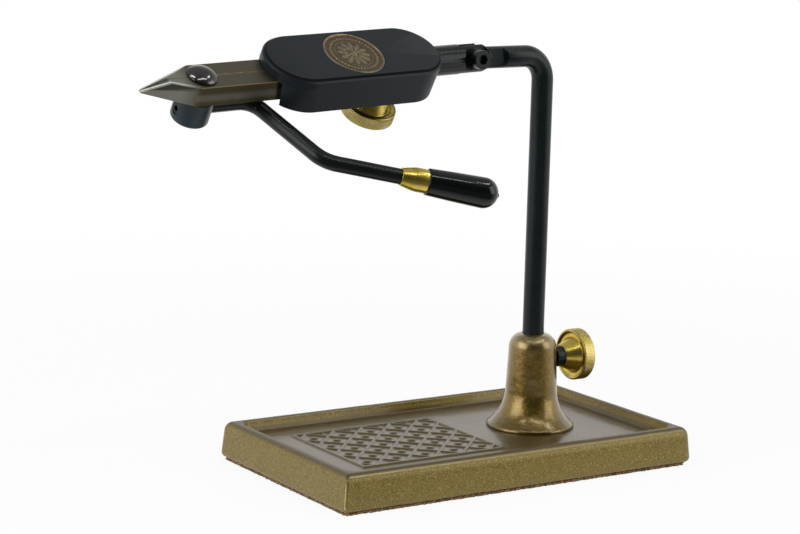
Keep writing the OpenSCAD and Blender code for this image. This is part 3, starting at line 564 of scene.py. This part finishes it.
def eased(corners, radius, steps=4):
    """An outline with its corners rounded; a corner may carry its own radius."""
    made = [tuple(corners[0][:2])]
    for before, here, after in zip(corners, corners[1:], corners[2:]):
        r = here[2] if len(here) > 2 else radius
        p, q, s = (Vector(c[:2]) for c in (before, here, after))
        one, two = (p - q), (s - q)
        reach = min(r, one.length * 0.48, two.length * 0.48)
        if reach < 1e-4:
            made.append(tuple(q))
            continue
        one, two = q + one.normalized() * reach, q + two.normalized() * reach
        for k in range(steps + 1):
            t = k / steps
            made.append(tuple(one * (1 - t) ** 2 + q * 2 * t * (1 - t) + two * t * t))
    made.append(tuple(corners[-1][:2]))
    return made


def knob_of(name, knurl_depth):
    """The knob about its own Z, from the collar's outer face, with a knurled rim."""
    outline = eased([
        (thread_r, 1.0, 0.0), (thread_r, 0.0, 0.1), (collar_r + 0.1, 0.0, 0.25),
        (knob_cone_r, knob_cone_l, 0.35), (knob_dish_r, knob_cone_l, 0.35),
        (knob_r - 1.0, knob_start, 0.2), (knob_r - 0.45, knob_start, 0.2),
        (knob_r, knob_start + 0.45, 0.2), (knob_r, knob_back - 0.45, 0.2),
        (knob_r - 0.45, knob_back, 0.25), (3.4, knob_back, 0.3), (2.7, knob_back - 0.45, 0.3),
        (0, knob_back - 0.45)], 0.2)
    rim = [i for i, (r, z) in enumerate(outline) if r > knob_r - 0.05]
    fine = [(knob_r, z) for z in np.linspace(outline[rim[0]][1], outline[rim[-1]][1], 7)]
    outline = outline[:rim[0]] + fine + outline[rim[-1] + 1:] + [(0, 1.0)]
    knob = turned(name, outline, knurls * 4)
    for vertex in knob.data.vertices:
        x, y, z = vertex.co * 1000
        r = math.hypot(x, y)
        inside = min(z - knob_start, knob_back - z) - 0.2
        if r > knob_r - 0.25 and inside > 0:
            turn = math.atan2(y, x) / math.tau * knurls
            groove = abs((turn % 1) - 0.5) * 2
            vertex.co.xy *= 1 - knurl_depth * groove * min(1, inside / 0.5) / r
    knob.data.update()
    return knob


def brass_of(name, light, dark, teeth=0):
    """Turned brass: fine rings about the piece's own Z, a little tarnish, a yellower
    inside than rim as painted bounced light, and painted shade between the teeth of a knurled
    rim."""
    made, shader, place = finish_of(name, {"Metallic": 1.0})
    x, y, z = (axis(place, letter) for letter in "XYZ")
    r = (x * x + y * y) ** 0.5
    lines = r.node("ShaderNodeCombineXYZ", {}, {0: r, 1: z, 2: 0.0})
    rings = lines.node("ShaderNodeTexNoise", {}, {
        "Vector": lines, "Scale": 9.0, "Detail": 3.0, "Roughness": 0.7})
    cloud = grain(place, 5, 3.0)
    tarnish = step(cloud, 0.3, 0.75)
    # Within the rim the brass is painted a deeper yellow, for light bouncing in the dish.
    deep = tint(tarnish, shade(216, 192, 98), shade(184, 160, 60))
    colour = tint(step(r, knob_r - 0.9, knob_r - 1.7),
                  tint(tarnish, shade(*light), shade(*dark)), deep)
    # Painted shade darkens the grooves between the teeth.
    if teeth:
        turn = y.math("ARCTAN2", y, x) * (teeth / math.tau)
        groove = abs(turn.math("FRACT", turn + teeth) - 0.5) * 2
        colour = tint(step(groove, 0.35, 0.95) * step(r, knob_r - 0.9, knob_r - 0.5),
                      colour, shade(*[c * 0.6 for c in dark]))
    colour.into(shader, "Base Color")
    (0.15 + 0.14 * rings + 0.12 * cloud).into(shader, "Roughness")
    bump(shader, rings, 0.008)
    return made


def spun(degrees, letter):
    """A turn about one axis."""
    return Matrix.Rotation(radians(degrees), 4, letter)


brass = brass_of("turned brass", (204, 186, 122), (174, 153, 74))
knurled_brass = brass_of("knurled brass", (206, 190, 124), (182, 165, 94), teeth=knurls)
# The base's screw is thumb_h over the tray, and its tip and its collar start thumb_tip
# and collar_x from the stem's middle.
thumb_h, thumb_tip, collar_x, collar_l = 30.2, 6.4, 11.27, 4.3
thumb_at = moved(stem_x, 0, tray_floor + thumb_h) @ spun(90, "Y")


def stud_of(name, tip, collar_z, collar_len, end):
    """The blacked stud about its own Z: a threaded shank with a collar on it."""
    turns = []
    z = tip
    while z < collar_z - 0.9:
        turns += [(thread_r, z + 0.15), (thread_r, z + 0.35),
                  (thread_r - thread_depth, z + 0.6), (thread_r - thread_depth, z + 0.7)]
        z += thread_pitch
    outline = [(0, tip), (thread_r - 0.3, tip)] + turns + eased([
        (thread_r, collar_z, 0.0), (collar_r, collar_z), (collar_r, collar_z + collar_len),
        (thread_r, collar_z + collar_len, 0.0)], 0.4) + [(thread_r, end), (0, end)]
    return turned(name, outline, 72)


thread_end = knob_back - knob_back_t - 0.3
fitted(stud_of("base_stud", thumb_tip, collar_x, collar_l, collar_x + collar_l + thread_end),
       stem_steel, "base_thumbscrew", "thumb_screw", thumb_at)
fitted(knob_of("base_knob", 0.12), brass, "base_thumbscrew", "thumb_knob",
       thumb_at @ moved(0, 0, collar_x + collar_l))
painted("screw_tip", brass)

# Tilting shaft.
# Bright-drawn steel bar, blacked, with a fork milled in its end that straddles the
# stem's tongue. A cap screw over a plain washer clamps the fork at the tilt chosen.
arm_z, arm_reach, arm_turn, head_tilt = 177.4, 41.6, 180 + 4.54, 2.22
tilt_at = (moved(stem_x, 0, arm_z) @ spun(arm_turn, "Z") @ moved(arm_reach, 0, 0)
           @ spun(head_tilt, "Y"))
shaft_steel = blacked("blacked drawn bar", (11, 15, 14), 0.27)
screw_steel = blacked("blacked screw", (8, 10, 10), 0.26)
for name, node, edge, steel in (("fork_shaft", "head_shaft", 0.25, shaft_steel),
                                ("cap_screw", "clevis_screw", 0.3, screw_steel),
                                ("plain_washer", "clevis_washer", 0.15, screw_steel)):
    fitted(carved(name, node, edge, tilt_at), steel, "tilting_shaft", node,
           tilt_at)

# Head body.
# A bar of aluminium with full round ends, bead-blasted and anodised blue-black. It is
# bored for the shaft from behind and milled out in front for the jaws.
head_roll, bar_half_t = -31.66, 7.95
head_at = tilt_at @ spun(head_roll, "X")
anodised, shader, place = finish_of("blue black anodising", {"Specular IOR Level": 0.23})
blast = grain(place, 0.28, 2.0, 0.6)
cloud = grain(place, 18, 3.0)
# A painted shade line runs just under the top's edge, where the finish is also rougher.
w = axis(place, "Z")
painted_edge_shade = (step(w, bar_half_t - 1.05, bar_half_t - 0.65)
              * step(w, bar_half_t - 0.02, bar_half_t - 0.09))
tint(painted_edge_shade, tint(cloud, shade(15, 22, 26), shade(18, 25, 29)), shade(3, 4, 4)).into(
    shader, "Base Color")
(0.34 + 0.1 * blast + 0.06 * cloud + 0.5 * painted_edge_shade).into(shader, "Roughness")
bump(shader, blast, 0.025)
fitted(carved("head_bar", "head_body", 0.22, head_at), anodised, "rotary_head",
       "head_body", head_at)

# Medallion.
# A struck disc of antiqued bronze, glued in a round seat on the bar's top. It carries
# a plain rosette inside a ring of beads, rubbed bright where it stands up.
coin_r, coin_seat, coin_sink, coin_u = 13.35, 1.2, 0.35, 63.6
coin_rim_r, coin_flat_r, bead_ring_r, bead_r, beads_round = 12.45, 13.2, 10.1, 0.62, 44
leaf_start, leaf_end, rib_start, rib_end, leaves = 1.4, 7.3, 1.8, 6.6, 12
inner_line_r, outer_line_r, boss_r, boss_h, middle_h = 8.3, 11.9, 1.7, 0.42, 0.34
sides = 480


def struck(r, turn):
    """Height of the coin's face over its field, in mm."""
    if r > coin_flat_r:
        return 0.3 * (coin_r - r) / 0.15 + 0.1
    rim = soft(coin_rim_r - r, 0.0, 0.25) * 0.42
    lines = (soft(abs(r - inner_line_r), 0.16, 0.25) * 0.2
             + soft(abs(r - outer_line_r), 0.1, 0.2) * 0.14)
    bead_turn = (turn / math.tau * beads_round) % 1 - 0.5
    bead = dome(math.hypot(bead_turn * math.tau * bead_ring_r / beads_round,
                           r - bead_ring_r), bead_r) * 0.3
    leaf = 0.0
    if leaf_start < r < leaf_end:
        leaf_turn = abs((turn / math.tau * leaves) % 1 - 0.5) * 2
        width = 0.92 * math.sin(math.pi * (r - leaf_start) / (leaf_end - leaf_start)) ** 0.6
        leaf = soft(leaf_turn - width, 0.0, 0.22) * 0.26 * (1 - 0.35 * leaf_turn)
        if rib_start < r < rib_end:
            leaf += soft(leaf_turn * r * 0.26, 0.09, 0.14) * 0.1
    return max(rim, lines, bead, leaf, dome(r, boss_r) * boss_h)


# The rings of points lie closer at the rim, and a last one is the disc's lower edge.
radii = [0.35, 0.7, *np.arange(1.05, 12.35, 0.2), 12.42, 12.5, 12.75, 13.0, 13.15, 13.25,
         coin_r]
points = [(0.0, 0.0, middle_h)]
for r in radii + [coin_r]:
    deep = len(points) > len(radii) * sides
    for k in range(sides):
        turn = math.tau * k / sides
        points.append((r * math.cos(turn), r * math.sin(turn),
                       coin_sink - coin_seat if deep else struck(r, turn)))
faces = [(0, 1 + k, 1 + (k + 1) % sides) for k in range(sides)]
faces += bands(len(radii) + 1, sides, first=1)
faces.append(tuple(range(len(points) - sides, len(points))))
coin = piece_of("rosette_disc", points, faces, crease=70)
antique, shader, place = finish_of("antiqued bronze", {"Metallic": 1.0})
raised = step(axis(place, "Z"), 0.0, 0.3)
stain = grain(place, 1.6, 3.0)
colour = tint(raised, shade(98, 87, 70), shade(136, 123, 96))
tint(step(stain, 0.45, 0.7) * 0.5, colour, shade(80, 68, 54)).into(shader, "Base Color")
(0.5 - 0.18 * raised + 0.14 * stain).into(shader, "Roughness")
bump(shader, grain(place, 0.35), 0.03)
fitted(coin, antique, "rotary_head", "medallion",
       head_at @ moved(coin_u, 0, bar_half_t - coin_sink))

# Tension thumbscrew.
# It comes up through the bar's underside, and its brass shoe rubs on the shaft.
tension_u, tension_tip, tension_collar_l = 44.8, 6.35, 5.6
tension_at = head_at @ moved(tension_u, 0, 0) @ spun(180, "X")
collar_z = bar_half_t + 0.3
dial_z = collar_z + tension_collar_l
fitted(stud_of("tension_threads", tension_tip, collar_z, tension_collar_l, dial_z + thread_end),
       stem_steel, "tension_screw", "tension_stud", tension_at)
fitted(knob_of("tension_dial", 0.34), knurled_brass, "tension_screw", "tension_knob",
       tension_at @ moved(0, 0, dial_z))
painted("tension_shoe", brass)

# Jaws.
# Two tool steel leaves, pinned side by side at their roots, hardened and drawn to a
# brown temper, then ground bright at the tip. Grinding leaves lines along them.
jaw_half_w, jaw_top = 7.5, 2.66
jaw_steel, shader, place = finish_of("tempered jaw steel", {"Metallic": 1.0})
u, v, w = (axis(place, letter) for letter in "XYZ")
lines = grain(place, 0.35, 3.0, 0.6, stretch=(40, 1, 1))
cloud = grain(place, 9, 3.0)
# The temper is brown and paler along the top edges. The sides are painted dark olive
# with a pale band along their middles, as a painted reflection.
temper_and_sheen = tint(cloud, shade(100, 96, 83), shade(91, 87, 74))
side, reflected_band_middle = step(abs(v), 6.8, 7.2), -2.6
temper_and_sheen = tint(side * step(abs(w - reflected_band_middle), 2.6, 0.6),
            tint(side, temper_and_sheen, shade(76, 72, 52)), shade(104, 102, 91))
edge_line = (step(abs(v), jaw_half_w - 0.4, jaw_half_w - 0.15)
             * step(w, jaw_top - 0.4, jaw_top - 0.15)
             + step(abs(v), 0.42, 0.22) * step(w, jaw_top - 0.5, jaw_top - 0.2))
temper_and_sheen = tint(edge_line * 0.9, temper_and_sheen, shade(166, 142, 98))
# The tip is ground to planes, each held as its distance and its slopes along u, v and w.
# A painted highlight runs as a bright ridge where an upper plane meets one beside it.
(top_d, top_u, top_w), (side_d, side_u, side_v) = (54.064, 0.344, 0.939), (45.482, 0.277, 0.961)
slant_d, slant_u, slant_v, slant_w = 50.762, 0.317, 0.702, 0.638
above = w.math("MINIMUM", jaw_top - w, top_d - top_u * u - top_w * w)
beside = w.math("MINIMUM", slant_d - slant_u * u - slant_v * abs(v) - slant_w * w,
                side_d - side_u * u - side_v * abs(v))
# The upper planes are painted darker as shade, over a line that falls slowly towards the point.
upper_slope, upper_from = 0.079, (11.72, 12.02)
upper = step(w + upper_slope * u, *upper_from) * step(w, jaw_top - 0.1, jaw_top - 0.26)
ground = tint(upper, shade(140, 139, 130), shade(104, 102, 94))
ground = tint(step(above, 0.55, 0.25) * step(beside, 0.55, 0.25), ground, shade(240, 240, 232))
tip_start, tip_end = 137, 147
tint(step(u, tip_start, tip_end), temper_and_sheen, ground).into(shader, "Base Color")
(0.34 + 0.16 * lines + 0.1 * cloud).into(shader, "Roughness")
bump(shader, lines, 0.02)
for name, node, body_name in (("front_leaf", "jaw_front", "front_jaw"),
                              ("back_leaf", "jaw_back", "back_jaw")):
    fitted(carved(name, node, 0.2, head_at, crease=12), jaw_steel, body_name, node,
           head_at)
painted("jaw_pins", shaft_steel)

# Cam pin and hub.
# The pin's domed head rests on both jaws; its flatted cam between them spreads them
# as it turns. The hub under the jaws is pressed on, and locked by a set screw.
cam_u = 134.7
cam_at = head_at @ moved(cam_u, 0, 0)
dome_steel, shader, place = finish_of("polished black steel", {"Metallic": 1.0})
cloud = grain(place, 5, 3.0)
tint(cloud, shade(78, 77, 75), shade(92, 90, 88)).into(shader, "Base Color")
(0.1 + 0.06 * cloud).into(shader, "Roughness")
bump(shader, grain(place, 0.6, 2.0), 0.008)
hub_steel = blacked("blued hub", (32, 42, 46), 0.3)
for name, node, edge, steel in (("domed_pin", "cam_pin", 0.25, dome_steel),
                                ("round_hub", "cam_hub", 0.3, hub_steel),
                                ("socket_screw", "hub_set_screw", 0.2, screw_steel)):
    fitted(carved(name, node, edge, cam_at), steel, "cam_lever", node, cam_at)

# Lever.
# A blacked steel rod with two bends, running back under the bar to the hand. A flared
# brass ferrule leads from it into a thick grip of dipped black vinyl.
fitted(carved("bent_lever", "lever_rod", 0), shaft_steel, "cam_lever", "lever_rod")
lever_first, lever_second, lever_third, lever_drop = 27.7, 42.2, 73.8, 12.35
first_bend, second_bend, grip_l, ferrule_l = -74.9, 48.8, 31.0, 11.0
grip_at = (head_at @ moved(cam_u, 0, -lever_drop) @ spun(180, "Z") @ moved(lever_first, 0, 0)
           @ spun(first_bend, "Z") @ moved(lever_second, 0, 0) @ spun(second_bend, "Z")
           @ spun(90, "Y"))
grip_start = lever_third - grip_l
ferrule_start = grip_start - ferrule_l
ferrule = turned("flared_ferrule", eased([
    (3.2, ferrule_start + 0.4), (3.2, ferrule_start, 0.05), (3.6, ferrule_start, 0.15),
    (3.75, ferrule_start + 0.8, 0.2), (4.9, ferrule_start + 5.8, 1.0),
    (4.9, grip_start - 0.05, 0.2), (3.2, grip_start - 0.05)], 0.2), 96)
fitted(ferrule, brass, "cam_lever", "lever_ferrule", grip_at)
# The grip is thicker towards its end, where the last drop of the dip has set.
vinyl, shader, place = finish_of("dipped black vinyl", {
    "Base Color": shade(5, 8, 7), "Specular IOR Level": 0.36})
skin = grain(place, 3.5, 2.0)
(0.06 + 0.08 * skin).into(shader, "Roughness")
bump(shader, skin + 0.2 * grain(place, 0.9), 0.05)
tip_r, drop_r = 6.35, 1.4
outline = [(0, grip_start + 0.3), (4.4, grip_start + 0.3)] + eased([
    (4.4, grip_start + 0.3, 0.0), (5.1, grip_start - 0.25, 0.35), (5.5, grip_start + 0.35, 0.5),
    (5.85, grip_start + 8, 3.0), (tip_r, grip_start + 21.5, 3.0)], 0.4, 6)[1:-1]
ball_z = lever_third - tip_r - drop_r / 2
outline += [(tip_r * math.cos(a), ball_z + tip_r * math.sin(a))
            for a in np.linspace(radians(2), radians(78), 16)]
outline += [(drop_r * math.cos(a), lever_third - drop_r + drop_r * math.sin(a))
            for a in np.linspace(radians(12), radians(80), 7)]
outline += [(0, lever_third)]
grip = turned("vinyl_grip", outline, 96, crease=60)
grip.data.transform(grip_at)
fitted(grip, vinyl, "cam_lever", "lever_grip")

# Table and light.
# The vise stands on a plain white table in soft light: a wide lamp on each side, three
# thin ones above, and a pale room that is dim behind the viewer, as metal shows it.
white, gloom, half_light = (1, 1, 1, 1), (0.06, 0.065, 0.065, 1), (0.5, 0.5, 0.51, 1)
dim_yaw, table_half = view_yaw + radians(169), 4000
dim_side = (math.sin(dim_yaw), math.cos(dim_yaw), 0)


def walls(direction, depth=1.0):
    """The room as shiny things see it: dim overhead, and on its dim side up to depth."""
    high = direction.node("ShaderNodeSeparateXYZ", {}, {0: direction}, "Z")
    bright = 1.0 - step(dot(direction, dim_side), 0.0, 0.83) * depth
    return tint(bright * (1.0 - step(high, 0.4, 0.75) * 0.55), gloom, white)


def rays(wire):
    """Whether a ray comes from the eye or through glass, and whether from a gloss."""
    seen, shiny, through = (wire.node("ShaderNodeLightPath", {}, {}, ray) for ray in (
        "Is Camera Ray", "Is Glossy Ray", "Is Transmission Ray"))
    return seen + through, shiny


table = piece_of("table_top", [(x * table_half, y * table_half, 0) for x, y in (
    (-1, -1), (1, -1), (1, 1), (-1, 1))], [(0, 1, 2, 3)])
table_white, shader, place = finish_of("white table", {
    "Base Color": (0.86, 0.86, 0.86, 1), "Roughness": 0.9, "Specular IOR Level": 0.0})
# The table shows as white, and keeps a part of the shadow round the vise.
paint = Wire(shader.outputs[0])
seen, shiny = rays(paint)
away = place.node("ShaderNodeVectorMath", {"operation": "LENGTH"}, {0: place}, "Value")
lit = seen * (0.89 + 0.11 * step(away, 0.22, 0.7)) + shiny * 0.9
outward = place.node("ShaderNodeVectorMath", {"operation": "NORMALIZE"}, {0: place})
glow = paint.node("ShaderNodeEmission", {}, {
    "Color": tint(shiny, white, walls(outward, step(away, 0.1, 0.28))), "Strength": 1.0})
paint.node("ShaderNodeMixShader", {}, {0: lit, 1: paint, 2: glow}).into(
    table_white.node_tree.nodes["Material Output"], "Surface")
table.data.materials.append(table_white)

room = bpy.data.worlds.new("pale room")
room.use_nodes = True
bpy.context.scene.world = room
background = room.node_tree.nodes["Background"]
sky = Wire(background.outputs[0])
seen, shiny = rays(sky)
towards = sky.node("ShaderNodeTexCoord", {}, {}, "Generated")
tint(seen, tint(shiny, half_light, walls(towards)), white).into(background, "Color")


def lamp(name, where, size, power):
    """A soft rectangular lamp that looks at the middle of the vise."""
    light = bpy.data.lights.new(name, "AREA")
    light.shape, light.size, light.size_y, light.energy = "RECTANGLE", *size, power
    made = bpy.data.objects.new(name, light)
    bpy.context.scene.collection.objects.link(made)
    made.location = where
    made.rotation_euler = (Vector((0, 0, 0.1)) - made.location).to_track_quat(
        "-Z", "Y").to_euler()


lamp("left lamp", (-1.25, 0.0, 0.55), (1.0, 1.0), 8.5)
lamp("right lamp", (0.9, -0.95, 0.55), (0.8, 1.0), 4.5)
lamp("front tube", (-0.05, -0.8, 1.3), (0.95, 0.09), 2.8)
lamp("left tube", (-0.65, -0.12, 1.3), (0.45, 0.1), 1.8)
lamp("right tube", (0.67, -0.45, 1.3), (0.4, 0.1), 1.4)
bpy.context.scene.view_settings.view_transform = "Standard"
